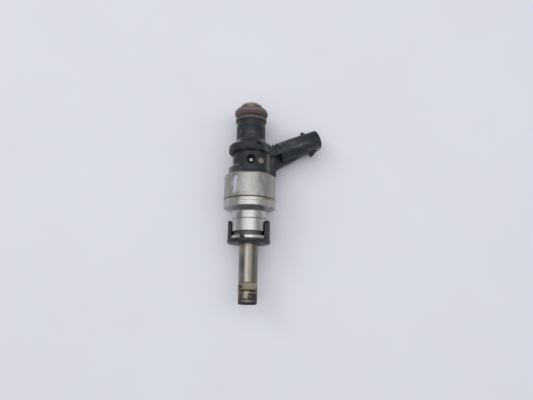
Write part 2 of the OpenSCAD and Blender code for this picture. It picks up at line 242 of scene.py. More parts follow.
class Value:
    """A shader socket that can stand in an expression. Each operator adds its Math node."""

    def __init__(self, finish, socket):
        self.finish, self.socket = finish, socket

    def __add__(self, other):
        return self.finish.maths("ADD", self, other)

    def __sub__(self, other):
        return self.finish.maths("SUBTRACT", self, other)

    def __rsub__(self, other):
        return self.finish.maths("SUBTRACT", other, self)

    def __mul__(self, other):
        return self.finish.maths("MULTIPLY", self, other)

    def __abs__(self):
        return self.finish.maths("ABSOLUTE", self)

    def __pow__(self, other):
        return self.finish.maths("POWER", self, other)

    __radd__, __rmul__ = __add__, __mul__


def colour(red, green, blue):
    """A display colour of 0 to 255 as the linear colour that a shader takes."""
    def linear(channel):
        part = channel / 255
        return part / 12.92 if part <= 0.04045 else ((part + 0.055) / 1.055) ** 2.4
    return linear(red), linear(green), linear(blue), 1.0


class Finish:
    """A material being built, on Object coordinates in millimetres."""

    def __init__(self, name):
        self.material = bpy.data.materials.new(name)
        self.material.use_nodes = True
        self.nodes, self.links = self.material.node_tree.nodes, self.material.node_tree.links
        self.nodes.clear()
        place = self.add("ShaderNodeTexCoord", output="Object")
        self.place = self.add("ShaderNodeVectorMath", {"operation": "SCALE"}, {0: place, "Scale": 1 / MM})
        self.x, self.y, self.z = (
            self.add("ShaderNodeSeparateXYZ", {}, {"Vector": self.place}, axis) for axis in "XYZ"
        )

    def add(self, kind, settings=None, sockets=None, output=0):
        """Adds a node with its settings and the values or links of its sockets, and returns one output."""
        node = self.nodes.new(kind)
        for name, value in (settings or {}).items():
            if name == "stops":
                for extra in value[2:]:
                    node.color_ramp.elements.new(extra[0])
                for stop, (position, shade) in zip(node.color_ramp.elements, value):
                    stop.position, stop.color = position, shade
            else:
                setattr(node, name, value)
        for name, value in (sockets or {}).items():
            if isinstance(value, Value):
                self.links.new(value.socket, node.inputs[name])
            else:
                node.inputs[name].default_value = value
        return Value(self, node.outputs[output])

    def maths(self, operation, *values):
        return self.add("ShaderNodeMath", {"operation": operation}, dict(enumerate(values)))

    def noise(self, scale, detail=3.0, stretch=(1, 1, 1), shift=0.0, roughness=0.55):
        """Soft noise, about scale features a millimetre. A small stretch draws them out along its axis."""
        place = self.add("ShaderNodeMapping", {}, {
            "Vector": self.place, "Location": (shift, shift, shift), "Scale": [scale * s for s in stretch]})
        return self.add("ShaderNodeTexNoise", {}, {
            "Vector": place, "Scale": 1.0, "Detail": detail, "Roughness": roughness})

    def rise(self, value, start, end):
        """0 at start and 1 at end, with a smooth change between."""
        return self.add("ShaderNodeMapRange", {"interpolation_type": "SMOOTHSTEP"}, {
            "Value": value, "From Min": start, "From Max": end})

    def band(self, value, low, high, soft):
        """1 between low and high, with soft edges."""
        return self.rise(value, low - soft, low + soft) * self.rise(value, high + soft, high - soft)

    def mix(self, factor, below, above):
        """Colour below where the factor is 0 and colour above where it is 1."""
        return self.add("ShaderNodeMix", {"data_type": "RGBA"}, {0: factor, 6: below, 7: above}, 2)

    def bump(self, height, depth, strength):
        """A bump of the height, up to a depth in millimetres."""
        return self.add("ShaderNodeBump", {}, {
            "Height": height, "Distance": depth * MM, "Strength": strength})

    def radius(self):
        return (self.x * self.x + self.z * self.z) ** 0.5

    def shade(self, **sockets):
        """Closes the material with its shader. Underscores in the names stand for spaces."""
        surface = self.add("ShaderNodeBsdfPrincipled", {}, {
            name.replace("_", " "): value for name, value in sockets.items()})
        self.links.new(surface.socket, self.nodes.new("ShaderNodeOutputMaterial").inputs["Surface"])
        return self.material


# ---- Finishes ----

def turned_steel(name, dark, light, rough, tint=None, lines=7.0):
    """Lathe-turned steel: fine lines round the axis, slight smears along them, and a tint in patches."""
    steel = Finish(name)
    line_place = steel.y + steel.radius()
    fine = steel.add("ShaderNodeTexNoise", {"noise_dimensions": "1D"}, {
        "W": line_place * lines, "Detail": 4.0, "Roughness": 0.7})
    smear = steel.rise(steel.noise(0.5, 4, (1, 0.45, 1), 3.1), 0.28, 0.72)
    pits = steel.noise(3.2, 2, (1, 1, 1), 7.7)
    shade = steel.mix(smear * 0.75 + fine * 0.25, dark, light)
    if tint:
        shade = steel.mix(steel.rise(steel.noise(0.28, 3, (1, 0.5, 1), 11.0), 0.48, 0.72) * 0.7, shade, tint)
    shade = steel.mix(steel.rise(pits, 0.66, 0.78) * 0.35, shade, colour(70, 66, 62))
    return steel, shade, {
        "Metallic": 1.0,
        "Roughness": rough + (smear - 0.5) * 0.16 + (fine - 0.5) * 0.1,
        "Normal": steel.bump(fine * 0.6 + pits * 0.4, 0.012, 0.5),
    }


def plain_steel(name, dark, light, rough, tint=None):
    steel, shade, surface = turned_steel(name, dark, light, rough, tint)
    return steel.shade(Base_Color=shade, **surface)


def can_steel(joint_y):
    """The plated coil can: dull, with weld staining along its lower joint and a wiped smear of old paint."""
    steel, shade, surface = turned_steel(
        "plated can steel", colour(146, 145, 144), colour(190, 188, 182), 0.44, colour(158, 157, 146), 5.0)
    patchy = steel.noise(0.7, 4, (1, 1.6, 1), 5.0)
    above = steel.rise(steel.z, 0.0, 3.0)
    seam = steel.rise(abs(steel.y - joint_y - 0.05), 0.45, 0.1)
    shade = steel.mix(seam * 0.75, shade, colour(92, 80, 62))
    left = steel.band(steel.x, -5.2, -1.6, 0.5) * steel.band(steel.y, joint_y - 0.2, joint_y + 0.45, 0.2)
    right = steel.band(steel.x, 5.6, 7.6, 0.6) * steel.band(steel.y, joint_y - 0.2, joint_y + 0.3, 0.25)
    stain = above * (left + right) * steel.rise(patchy, 0.3, 0.5)
    shade = steel.mix(stain * 0.75, shade, colour(136, 100, 58))
    ragged = (steel.noise(0.9, 4, (1, 0.6, 1), 2.0) - 0.5) * 2.2
    lean = abs(steel.x + (steel.y - 22) * -0.09 + 5.4 + ragged)
    dab = steel.rise(lean - 0.75, 0.3, -0.2) * steel.band(steel.y + ragged, joint_y + 1.6, 25.6, 0.5)
    haze = steel.band(steel.x + ragged, -4.6, 0.4, 1.0) * steel.band(steel.y + ragged, 19.6, 25.0, 0.9)
    wiped = haze * steel.rise(steel.noise(1.1, 4, (1, 0.7, 1), 27.0), 0.42, 0.62)
    paint = steel.maths("MINIMUM", above * (dab * 0.75 + wiped * 0.4), 0.85)
    shade = steel.mix(paint, shade, colour(196, 192, 210))
    surface["Metallic"] = 1 - paint
    return steel.shade(Base_Color=shade, **surface)


def valve_steel(joint_y):
    """Bright turned steel of the valve housing: painted lighter on the neck's sides, darker on the cone,
    painted shade in the undercut and the groove, and amber near the weld.
    """
    steel, shade, surface = turned_steel(
        "bright turned steel", colour(160, 158, 158), colour(196, 194, 191), 0.31, colour(184, 178, 170), 6.0)
    patchy = steel.noise(0.6, 4, (1, 1, 1), 9.0)
    line = steel.rise(abs(steel.y - joint_y + 0.08), 0.5, 0.1)
    shade = steel.mix(line * 0.7, shade, colour(100, 86, 66))
    near_weld = steel.band(steel.y, joint_y - 1.0, joint_y, 0.25)
    spots = steel.band(steel.x, 6.0, 8.6, 0.8) + steel.band(steel.x, -4.8, -2.6, 0.5) * 0.7
    amber = near_weld * spots * steel.rise(steel.z, 0.0, 3.0)
    shade = steel.mix(amber * steel.rise(patchy, 0.3, 0.55) * 0.7, shade, colour(150, 116, 70))
    warm_side = steel.rise(steel.x, 5.5, 9.5) * steel.band(steel.y, 13.6, 17.0, 0.5)
    shade = steel.mix(warm_side * steel.rise(patchy, 0.35, 0.6) * 0.4, shade, colour(150, 126, 114))
    # Painted light: the neck is painted lighter towards its sides, standing in for brighter reflections
    # there.
    sides = steel.rise(abs(steel.x), 3.0, 5.5) * steel.rise(steel.y, 12.9, 12.5)
    shade = steel.mix(sides * 0.45, shade, colour(206, 205, 206))
    # Not soot: painted shade in the undercut below the neck, and a darker band on the cone above the neck.
    soot = steel.band(steel.y, 12.75, 14.0, 0.2) * 0.4 + steel.band(steel.y, 3.0, 4.75, 0.08) * 0.85
    # Painted shade in the groove round the neck.
    groove_shade = steel.rise(abs(steel.y - GROOVE), 0.2, 0.1) * 0.55
    shade = steel.mix(steel.maths("MAXIMUM", soot, groove_shade), shade, colour(70, 67, 72))
    surface["Roughness"] = surface["Roughness"] + soot * 0.2
    return steel.shade(Base_Color=shade, **surface)


def nozzle_steel():
    """Nozzle shaft: satin, with heat tints in long patches, fuel lacquer near the seat, painted shade on its
    right side and a painted highlight left of the middle.
    """
    steel, shade, surface = turned_steel(
        "heat tinted nozzle steel", colour(124, 121, 117), colour(160, 155, 147), 0.33,
        colour(152, 136, 108), 6.0)
    cold = steel.band(steel.y, -10.5, -4.5, 1.8) * steel.rise(steel.x, -0.6, -2.6)
    shade = steel.mix(cold * 0.55, shade, colour(92, 96, 104))
    # Painted shade on the right side, then a painted highlight in a strip left of the middle.
    shade = steel.mix(steel.rise(steel.x, -0.3, 0.5) * 0.7, shade, colour(116, 111, 104))
    shade = steel.mix(steel.band(steel.x, -1.1, -0.1, 0.4) * 0.6, shade, colour(178, 174, 168))
    lacquer = steel.rise(steel.y, -5.0, -1.0) * steel.rise(steel.noise(0.5, 4, (1, 0.5, 1), 21.0), 0.42, 0.62)
    shade = steel.mix(lacquer * 0.6, shade, colour(158, 142, 104))
    ring = steel.rise(steel.y, -14.2, -15.0)
    shade = steel.mix(ring * 0.35, shade, colour(120, 100, 78))
    return steel.shade(Base_Color=shade, **surface)


def sooty_tip():
    """Spray tip: carbon over brown lacquer, a lighter streak of bare steel left of the middle that is also a
    painted highlight, and a painted highlight on the front of a ring line.
    """
    tip = Finish("sooted tip steel")
    patch = tip.noise(0.5, 5, (1, 1.2, 1), 4.4, 0.6)
    fine = tip.noise(2.6, 4, (1, 1, 1), 8.0)
    brown = tip.mix(fine, colour(80, 68, 58), colour(118, 102, 86))
    bare = tip.mix(fine, colour(142, 137, 132), colour(196, 190, 184))
    red = tip.rise(tip.noise(1.3, 3, (1, 1, 1), 31.0), 0.56, 0.66) * tip.band(tip.y, -22.0, -19.4, 0.4)
    # Bare steel clear of carbon in a streak left of the middle, which is also a painted highlight.
    clear = tip.band(tip.x + (patch - 0.5) * 2.4, -1.7, 0.1, 0.6) * tip.rise(tip.y, -21.8, -20.4)
    shade = tip.mix(clear * 0.6, brown, bare)
    shade = tip.mix(red * 0.5, shade, colour(120, 72, 58))
    soot = tip.rise(tip.noise(0.55, 4, (1, 1, 1), 14.0) + (tip.x - 0.6) * 0.08, 0.46, 0.6)
    ring = tip.band(tip.y, -22.2, -21.8, 0.2)
    lower = tip.rise(tip.y, -20.6, -21.6) * 0.75 * (1 - ring * 0.7)
    end = tip.rise(tip.y, -22.5, -23.0)
    soot = soot * 0.85 * (1 - ring * 0.6) * (1 - clear * 0.7)
    carbon = tip.maths("MAXIMUM", tip.maths("MAXIMUM", soot, lower), end)
    shade = tip.mix(carbon, shade, colour(40, 37, 36))
    # A light line all round near the top, and a painted highlight on the front middle of the ring line.
    edge = tip.band(tip.y, -19.0, -18.7, 0.12) + ring * tip.band(tip.x, -2.2, 2.4, 0.7)
    shade = tip.mix(edge * 0.5, shade, colour(168, 163, 156))
    shade = tip.mix(tip.rise(tip.y, -18.55, -18.25) * 0.85, shade, colour(46, 34, 28))
    return tip.shade(
        Base_Color=shade, Metallic=0.85 - carbon * 0.6, Roughness=0.36 + carbon * 0.25 + (fine - 0.5) * 0.2,
        Normal=tip.bump(fine * 0.5 + soot * 0.5, 0.03, 0.6))


def moulded_plastic(name, dark, light, rough, dust, dusty=0.5):
    """Glass-filled moulding: fine grain, dull scuffs and dust that clings in patches."""
    plastic = Finish(name)
    grain = plastic.noise(9.0, 3)
    cloud = plastic.noise(0.35, 4, (1, 1, 1), 6.0)
    scuff = plastic.noise(1.3, 5, (1, 0.4, 1), 13.0, 0.65)
    shade = plastic.mix(cloud, dark, light)
    dirt = plastic.rise(cloud * 0.5 + scuff * 0.5, 0.52, 0.68) * dusty
    shade = plastic.mix(dirt, shade, dust)
    return plastic, shade, {
        "Roughness": rough + (scuff - 0.5) * 0.22 + dirt * 0.25,
        "Normal": plastic.bump(grain * 0.5 + scuff * 0.5, 0.02, 0.55),
    }


def plain_plastic(name, dark, light, rough, dust, dusty=0.5):
    plastic, shade, surface = moulded_plastic(name, dark, light, rough, dust, dusty)
    return plastic.shade(Base_Color=shade, Specular_IOR_Level=0.4, **surface)


def housing_plastic(foot_y, collar_y):
    """Black moulding of the plug and the neck: dusty in bands, dust and painted light on the pillar's face,
    painted shade towards the socket's end, glossy on the pad and the collar's slope.
    """
    plastic, shade, surface = moulded_plastic(
        "black moulding", colour(29, 33, 38), colour(46, 50, 57), 0.48, colour(98, 98, 97), 0.45)
    fleck = plastic.rise(plastic.noise(2.2, 5, (1, 1, 1), 17.0, 0.7), 0.5, 0.64)
    cloud = plastic.rise(plastic.noise(0.5, 3, (1, 1, 1), 23.0), 0.42, 0.6)
    worn = plastic.band(plastic.y, foot_y + 1.0, foot_y + 3.2, 0.4) * plastic.band(plastic.x, -3.4, 3.6, 0.8)
    film = plastic.band(plastic.y, collar_y + 6.6, collar_y + 8.8, 1.6)
    film = film * plastic.band(plastic.x, -1.6, 2.4, 1.8)
    # The pillar's front face is lighter: dust, and painted light where the face is lit.
    pillar = plastic.band(plastic.x, 6.0, 8.0, 0.5)
    pillar = pillar * plastic.band(plastic.y, foot_y + 0.5, collar_y + 1.8, 1.2)
    along = plastic.x * cos(radians(LEAN)) + plastic.y * sin(radians(LEAN))
    across = plastic.y * cos(radians(LEAN)) - plastic.x * sin(radians(LEAN))
    streak = plastic.band(across, 31.0, 32.9, 0.6) * plastic.band(along, 30.5, 39.5, 1.6)
    dusty = plastic.maths("MAXIMUM", worn * 0.6 * fleck, film * (0.12 + fleck * 0.5))
    # This mask carries dust, and painted light on the pillar.
    dusty = plastic.maths("MAXIMUM", dusty, pillar * (0.2 + cloud * 0.35 + fleck * 0.55))
    dusty = plastic.maths("MAXIMUM", dusty, streak * (0.2 + fleck * 0.7))
    above = plastic.rise(plastic.z, 0.0, 3.0)
    shade = plastic.mix(dusty * above, shade, colour(118, 114, 108))
    # Painted shade: darker and greener towards the socket's end, standing in for the shade on its lower side.
    socket_shade = plastic.rise(plastic.x, 12.0, 20.0) * (0.4 + cloud * 0.6)
    shade = plastic.mix(socket_shade * 0.6, shade, colour(24, 33, 35))
    pad = plastic.rise(plastic.x, -1.0, -5.0) * plastic.rise(plastic.y, foot_y + 5.0, foot_y + 3.6)
    slope = plastic.band(plastic.y, collar_y + 2.6, collar_y + 5.6, 0.4)
    glossy = plastic.maths("MAXIMUM", pad, slope * (0.4 + cloud * 0.6))
    surface["Roughness"] = surface["Roughness"] - glossy * 0.14
    surface["Coat Weight"] = glossy * 0.9 + 0.1
    return plastic.shade(Base_Color=shade, Specular_IOR_Level=0.22, Coat_Roughness=0.12, **surface)


def seal_rubber():
    """Rail seal: mauve-brown rubber, with a painted highlight in a band round it and dusty at the foot."""
    rubber = Finish("rail seal rubber")
    fine = rubber.noise(5.0, 4)
    round_patch = rubber.noise(0.5, 3, (1, 1, 1), 2.0)
    shade = rubber.mix(round_patch, colour(76, 66, 70), colour(102, 90, 94))
    red = rubber.band(rubber.y, 53.3, 54.3, 0.3) * rubber.rise(round_patch, 0.45, 0.6)
    shade = rubber.mix(red * 0.8, shade, colour(104, 62, 58))
    # Painted highlight: a lighter band round the ring.
    highlight_band = rubber.band(rubber.y, 54.4, 55.3, 0.3)
    shade = rubber.mix(highlight_band * 0.4, shade, colour(134, 118, 124))
    foot = rubber.rise(rubber.y, 53.6, 53.2)
    shade = rubber.mix(foot * 0.6, shade, colour(112, 104, 96))
    return rubber.shade(
        Base_Color=shade, Roughness=0.5 + (fine - 0.5) * 0.3,
        Normal=rubber.bump(fine, 0.02, 0.5))


def tip_seal_polymer():
    """Combustion seal: tan polymer with brown scorching on its hot side and a few carbon specks."""
    seal = Finish("combustion seal polymer")
    fine = seal.noise(2.4, 4, (1, 0.6, 1))
    shade = seal.mix(fine, colour(124, 114, 98), colour(154, 142, 122))
    shade = seal.mix(seal.rise(seal.x, 1.0, -2.0) * 0.4, shade, colour(112, 108, 104))
    hot = seal.rise(seal.y + (fine - 0.5) * 1.2, -16.6, -17.7)
    shade = seal.mix(hot * 0.75, shade, colour(118, 88, 58))
    shade = seal.mix(seal.rise(seal.y, -17.55, -17.8) * 0.8, shade, colour(52, 38, 30))
    speck = seal.rise(seal.noise(0.75, 2, (1, 1, 1), 12.3), 0.66, 0.74)
    side = seal.rise(seal.x, -1.4, -2.3) * seal.band(seal.y, -17.4, -15.9, 0.3)
    shade = seal.mix(seal.maths("MAXIMUM", speck, side * 0.9), shade, colour(48, 42, 36))
    return seal.shade(
        Base_Color=shade, Roughness=0.55 + (fine - 0.5) * 0.2,
        Normal=seal.bump(fine, 0.02, 0.4))


def soft_metal(name, dark, light, rough, stain):
    """A formed or plated metal without lathe lines."""
    metal = Finish(name)
    cloud = metal.noise(1.4, 4)
    fine = metal.noise(8.0, 3, (1, 1, 1), 3.0)
    shade = metal.mix(metal.rise(cloud, 0.45, 0.7) * 0.6, metal.mix(fine, dark, light), stain)
    return metal.shade(
        Base_Color=shade, Metallic=1.0, Roughness=rough + (cloud - 0.5) * 0.2,
        Normal=metal.bump(fine, 0.01, 0.4))


def ball_steel():
    """Polished ball, with a painted dark reflection in a ring round the middle of its upper side."""
    steel = Finish("ball steel")
    fine = steel.noise(6.0, 3)
    shade = steel.mix(fine, colour(206, 205, 200), colour(232, 231, 226))
    at = middle("port_ball")
    off_x = steel.x - at.x - 0.1
    off_y = steel.y - at.y + 0.1
    off = (off_x * off_x + off_y * off_y) ** 0.5
    # Painted reflection: a dark ring on the upper side of the ball, rougher there too.
    dark_reflection = steel.band(off + (fine - 0.5) * 0.2, 0.12, 0.42, 0.08) * steel.rise(steel.z, at.z, at.z + 0.6)
    shade = steel.mix(dark_reflection * 0.85, shade, colour(46, 46, 46))
    return steel.shade(
        Base_Color=shade, Metallic=1.0, Roughness=0.2 + (fine - 0.5) * 0.15 + dark_reflection * 0.3,
        Normal=steel.bump(fine, 0.01, 0.4))


def rail_end_steel(inlet_y):
    """Inlet tube: bright steel, with a cream tint on the end that sits in the rail and painted shade in a
    dark line on the flange just above the seal.
    """
    steel, shade, surface = turned_steel(
        "inlet steel", colour(148, 144, 136), colour(188, 184, 174), 0.28, colour(150, 142, 124), 6.0)
    # A cream tint over the end that sits in the rail, a little less metallic.
    cream_end = steel.rise(steel.y, inlet_y - 1.5, inlet_y - 1.0)
    shade = steel.mix(cream_end * 0.35, shade, colour(176, 168, 140))
    # Painted shade: a dark line on the flange just above the seal, where the crease between them lies.
    crease_shade = steel.band(steel.y, inlet_y - 1.75, inlet_y - 1.35, 0.12)
    shade = steel.mix(crease_shade * 0.8, shade, colour(58, 44, 38))
    surface["Metallic"] = 1 - cream_end * 0.15
    return steel.shade(Base_Color=shade, **surface)


can_y = span("coil_housing")
inlet_span = span("inlet_tube")
finishes = {
    "steel_housing": can_steel(can_y[0]),
    "steel_neck": valve_steel(can_y[0]),
    "steel_nozzle": nozzle_steel(),
    "steel_tip": sooty_tip(),
    "steel_inner": plain_steel("inner steel", colour(150, 150, 150), colour(190, 190, 188), 0.3),
    "spring_steel": soft_metal(
        "spring steel", colour(150, 150, 152), colour(190, 190, 190), 0.3, colour(120, 116, 110)),
    "ball_steel": ball_steel(),
    "washer_steel": plain_steel(
        "washer steel", colour(196, 192, 184), colour(214, 210, 202), 0.45, colour(182, 174, 162)),
    "black_plastic": housing_plastic(span("plug_body")[0], span("neck_cap")[0]),
    "clip_plastic": plain_plastic(
        "clip plastic", colour(22, 24, 28), colour(38, 40, 46), 0.44, colour(80, 82, 86), 0.4),
    "spacer_plastic": plain_plastic(
        "spacer plastic", colour(30, 32, 36), colour(42, 45, 52), 0.4, colour(84, 84, 84), 0.3),
    "support_plastic": plain_plastic(
        "support ring plastic", colour(70, 64, 60), colour(94, 87, 80), 0.5, colour(112, 106, 96), 0.6),
    "filter_plastic": plain_plastic(
        "filter plastic", colour(150, 146, 130), colour(176, 172, 156), 0.5, colour(120, 112, 96), 0.5),
    "filter_gauze": soft_metal(
        "filter gauze", colour(150, 148, 140), colour(176, 174, 168), 0.45, colour(110, 104, 94)),
    "o_ring_rubber": seal_rubber(),
    "seal_ptfe": tip_seal_polymer(),
    "copper": soft_metal(
        "copper rivet", colour(176, 146, 132), colour(196, 168, 152), 0.5, colour(132, 108, 96)),
    "contact_tin": soft_metal(
        "tinned contact", colour(178, 172, 150), colour(204, 198, 178), 0.32, colour(150, 140, 112)),
    "coil_wire": soft_metal(
        "coil wire", colour(150, 84, 50), colour(184, 108, 66), 0.35, colour(110, 62, 40)),
    "bobbin_plastic": plain_plastic(
        "bobbin plastic", colour(48, 48, 50), colour(62, 62, 66), 0.5, colour(90, 88, 84), 0.3),
}
rail_steel = rail_end_steel(inlet_span[1])

for part in frame["record"]["subparts"]:
    for holder in frame["nodes"][part["node"]].material_slots:
        holder.material = finishes[part["material_slot"]]


# ---- Fuel inlet ----

BORE = 2.3           # radius of the fuel bore
INLET = 3.43         # radius of the inlet tube

base_y = span("plug_body")[0]
cap_y, cap_top, collar_r = span("neck_cap")
spacer_low, spacer_top, spacer_r = span("spacer_ring")
backing_low, backing_top, backing_r = span("support_ring")
seal_low, seal_top, seal_r = span("rail_o_ring")


def inlet_fitting():
    low, top, flange_r = inlet_span
    flange_y = seal_top + 0.05
    bm = turned([
        (BORE, low), (INLET, low, 0.2), (INLET, flange_y, 0.15), (flange_r, flange_y, 0.2),
        (flange_r, top - 1.1, 0.25), (flange_r - 0.75, top, 0.3), (BORE + 0.75, top, 0.25),
        (BORE, top - 0.75, 0.3)])
    finished(bm, "inlet_fitting", "injector", "steel_neck", rail_steel, "inlet_tube")


def rail_seal():
    section = (seal_top - seal_low) / 2
    ring_r = seal_r - section
    bm = bmesh.new()
    bmesh.ops.create_circle(bm, segments=40, radius=section)
    bmesh.ops.translate(bm, verts=bm.verts, vec=(ring_r, seal_low + section, 0))
    for vert in bm.verts:
        if abs(vert.co.y - seal_low - section) < 1e-4:
            vert.co.x += 0.03 if vert.co.x > ring_r else -0.01
    finished(spun(bm), "rail_seal", "injector", "o_ring_rubber", finishes["o_ring_rubber"], "rail_o_ring")


def backing_ring():
    inner = INLET + 0.05
    bm = turned([
        (inner, backing_low), (backing_r, backing_low, 0.18), (backing_r, backing_low + 1.3, 0.3),
        (5.9, backing_top - 0.3, 0.15), (5.2, backing_top, 0.25), (inner, backing_top, 0.1)])
    slit = block((-0.12, backing_low - 1, -8), (0.12, backing_top + 1, -2))
    bm = combined(bm, [placed(slit, azimuth(35))], "DIFFERENCE")
    finished(bm, "backing_ring", "injector", "support_plastic", finishes["support_plastic"], "support_ring")


def spacer_collar():
    waist = (spacer_low + spacer_top) / 2
    bm = turned([
        (INLET + 0.01, spacer_low), (spacer_r, spacer_low, 0.2), (spacer_r, waist - 0.75, 0.15),
        (spacer_r - 0.12, waist - 0.55, 0.1), (spacer_r - 0.12, waist + 0.55, 0.1),
        (spacer_r, waist + 0.75, 0.15), (spacer_r, spacer_top, 0.2), (INLET + 0.01, spacer_top)])
    finished(bm, "spacer_collar", "injector", "spacer_plastic", finishes["spacer_plastic"], "spacer_ring")


# ---- Plastic ----

BARREL = 7.12                      # radius of the plug's barrel
FOOT = 9.2                         # radius of the plug's foot
NECK = 6.0                         # radius of the neck above its collar
HALF_BOSS = 4.1                    # half the width of the pillar
SHELL_W, SHELL_H = 8.2, 10.8       # the socket's outside
SHELL_START, SHELL_LEN = -1.3, 16.8  # where the shell begins and ends along the socket
SHELL_AT = Vector((12.7, 38.63))   # where the socket's axis begins
WALL, CAVITY = 0.8, 11.0           # the socket's wall and the depth inside
CONTACT_X, CONTACT_BEND = 7.6, 35.4  # where the contacts rise, and the height at which they turn
CONTACT_HALF = 0.4                 # half a contact's thickness
BALL = 1.4                         # radius of the closing ball
RIVET, RIVET_FOOT = 1.25, 5.6      # the rivet's radius and how far out its shank starts
rivet_at = azimuth(39) @ Matrix.Translation((0, 32.9, 0))
rolled = azimuth(ROLL)
socket = rolled @ Matrix.Translation(SHELL_AT.to_3d()) @ Matrix.Rotation(radians(LEAN), 4, "Z")


def neck_moulding():
    bm = turned([
        (INLET + 0.01, cap_y), (collar_r - 0.5, cap_y, 0.1), (collar_r, cap_y + 0.55, 0.25),
        (collar_r, cap_y + 3.04, 0.6), (NECK, cap_y + 5.3, 0.7), (NECK, cap_top, 0.25),
        (INLET + 0.01, cap_top)])
    gate = block((-0.9, cap_y + 5.5, NECK - 0.2), (1.7, cap_y + 7.2, NECK + 1), 0.15)
    pocket = placed(block((-0.8, cap_y + 2.1, 7.35), (0.8, cap_y + 3.2, 9.5), 0.15), azimuth(25))
    ejector = placed(placed(rod(0.85, 3), Matrix.Rotation(radians(-38), 4, "X")),
                     azimuth(45) @ Matrix.Translation((0, cap_y + 3.15, 7.45)))
    bm = combined(bm, [gate, pocket, ejector], "DIFFERENCE")
    finished(bm, "neck_moulding", "injector", "black_plastic", finishes["black_plastic"], "neck_cap")


def raised_pad():
    """The pad on the foot, on the side away from the socket."""
    top = base_y + 3.6
    ring = turned([(6, base_y + 0.2), (9.0, base_y + 0.2), (9.0, top, 1.2), (6, top)])
    half = 5.3
    below, above = base_y - 4, top + 0.2
    sides = slab([(-half, below), (half, below), (half, above, 1.7), (-half, above, 1.7)], 3, 11)
    pad = combined(ring, [placed(sides, azimuth(-62))], "INTERSECT")
    rims = [e for e in pad.edges if len(e.link_faces) == 2 and e.calc_face_angle(0) > radians(38)
            and all((v.co.x ** 2 + v.co.z ** 2) ** 0.5 > 7.6 for v in e.verts)]
    return rounded(pad, rims, 0.25, 3)


def pillar():
    """The pillar beside the barrel that the socket's arm leaves from."""
    bm = block((6, base_y + 0.05, -HALF_BOSS), (10.2, cap_y - 0.15, HALF_BOSS))
    outer = [e for e in bm.edges if all(v.co.x > 10 for v in e.verts)]
    upright = [e for e in outer if abs(e.verts[0].co.y - e.verts[1].co.y) > 1]
    rounded(bm, upright, 1.2)
    rim = [e for e in bm.edges if all(v.co.y > cap_y - 0.2 and v.co.x > 6.1 for v in e.verts)]
    return placed(rounded(bm, rim, 0.6, 4), rolled)


def arm():
    """The arm from the pillar to the socket, with the step and slot in its upper side."""
    bm = stadium(SHELL_W, SHELL_H, -6, SHELL_START + 0.2)
    for point, normal in (((0, -1.3, 0), (0, -1, 0)), ((0, 0, -3.2), (0, 0, -1))):
        cut = bmesh.ops.bisect_plane(bm, geom=bm.verts[:] + bm.edges[:] + bm.faces[:], dist=1e-5,
                                     plane_co=point, plane_no=normal, clear_outer=True)
        edges = [item for item in cut["geom_cut"] if isinstance(item, bmesh.types.BMEdge)]
        bmesh.ops.contextual_create(bm, geom=edges)
    tidied(bm)
    bm = combined(bm, [block((SHELL_START - 1, 2.4, 0.5), (SHELL_START + 0.3, 5.4, 6.5))], "DIFFERENCE")
    return placed(bm, socket)


def web():
    """The gusset under the arm."""
    corners = [
        (9, 29), (10.2, 29, 0.4), (11.5, 31.9, 1.0), (18.5, 35.9, 1.0), (23, 38.9), (16, 40), (9, 36.5)]
    bm = slab(corners, -4.2, 0.2, 0.3)
    return placed(bm, rolled)


def socket_shell():
    """The socket's outside: the shell, the nub above and the latch hook below."""
    shell = stadium(SHELL_W, SHELL_H, SHELL_START, SHELL_LEN, (0.5, 0.2))
    nub_x, hook_x = SHELL_LEN - 5.7, SHELL_LEN - 5
    top, foot = SHELL_W / 2 - 0.3, -SHELL_W / 2 + 0.4
    nub = slab([
        (nub_x, top), (nub_x + 2.6, top), (nub_x + 1, top + 1.6, 0.25), (nub_x + 0.4, top + 1.6, 0.25)],
        -1, 1, 0.15)
    hook = slab([
        (hook_x, foot), (hook_x + 3.4, foot), (hook_x + 3, foot - 0.6, 0.3), (hook_x + 0.9, foot - 1.9, 0.2),
        (hook_x + 0.3, foot - 1.9, 0.25)], -1.9, 1.9, 0.18)
    return [placed(part, socket) for part in (shell, nub, hook)]


def plug_moulding():
    barrel = turned([
        (5.5, base_y), (FOOT, base_y, 0.08), (FOOT, base_y + 0.5, 0.2), (BARREL + 0.45, base_y + 0.95, 0.3),
        (BARREL, base_y + 1.7, 0.4), (BARREL, cap_y, 0.08), (INLET + 0.01, cap_y), (INLET + 0.01, 31),
        (4.3, 31), (4.3, 28.6), (5.5, 28.6)])
    upright = Matrix.Rotation(-pi / 2, 4, "X")
    clearance = placed(rod(collar_r + 0.05, 6.05, ROUND), Matrix.Translation((0, cap_y - 0.05, 0)) @ upright)
    core = placed(rod(BARREL - 0.5, 20, 64), Matrix.Translation((0, base_y - 1, 0)) @ upright)
    side = combined(pillar(), [arm(), web(), *socket_shell()], "UNION")
    side = combined(side, [clearance, core], "DIFFERENCE")
    ball = middle("port_ball")
    window = placed(rod(BALL + 0.45, 5), Matrix.Translation(ball))
    seat = placed(rod(BALL + 0.02, 5), Matrix.Translation((ball.x, ball.y, ball.z - BALL)))
    rivet_seat = placed(rod(RIVET, 4), rivet_at @ Matrix.Translation((0, 0, RIVET_FOOT)))
    wide, high, past = SHELL_W - 2 * WALL, SHELL_H - 2 * WALL, SHELL_LEN + 1
    cavity = placed(stadium(wide, high, SHELL_LEN - CAVITY, past, (0.3, 0)), socket)
    mouth = placed(stadium(wide + 0.5, high + 0.5, SHELL_LEN - 0.35, past, (0.3, 0)), socket)
    bm = combined(barrel, [side, raised_pad()], "UNION")
    bm = combined(bm, [window, seat, rivet_seat, cavity, mouth], "DIFFERENCE")
    finished(bm, "plug_moulding", "injector", "black_plastic", finishes["black_plastic"], "plug_body")


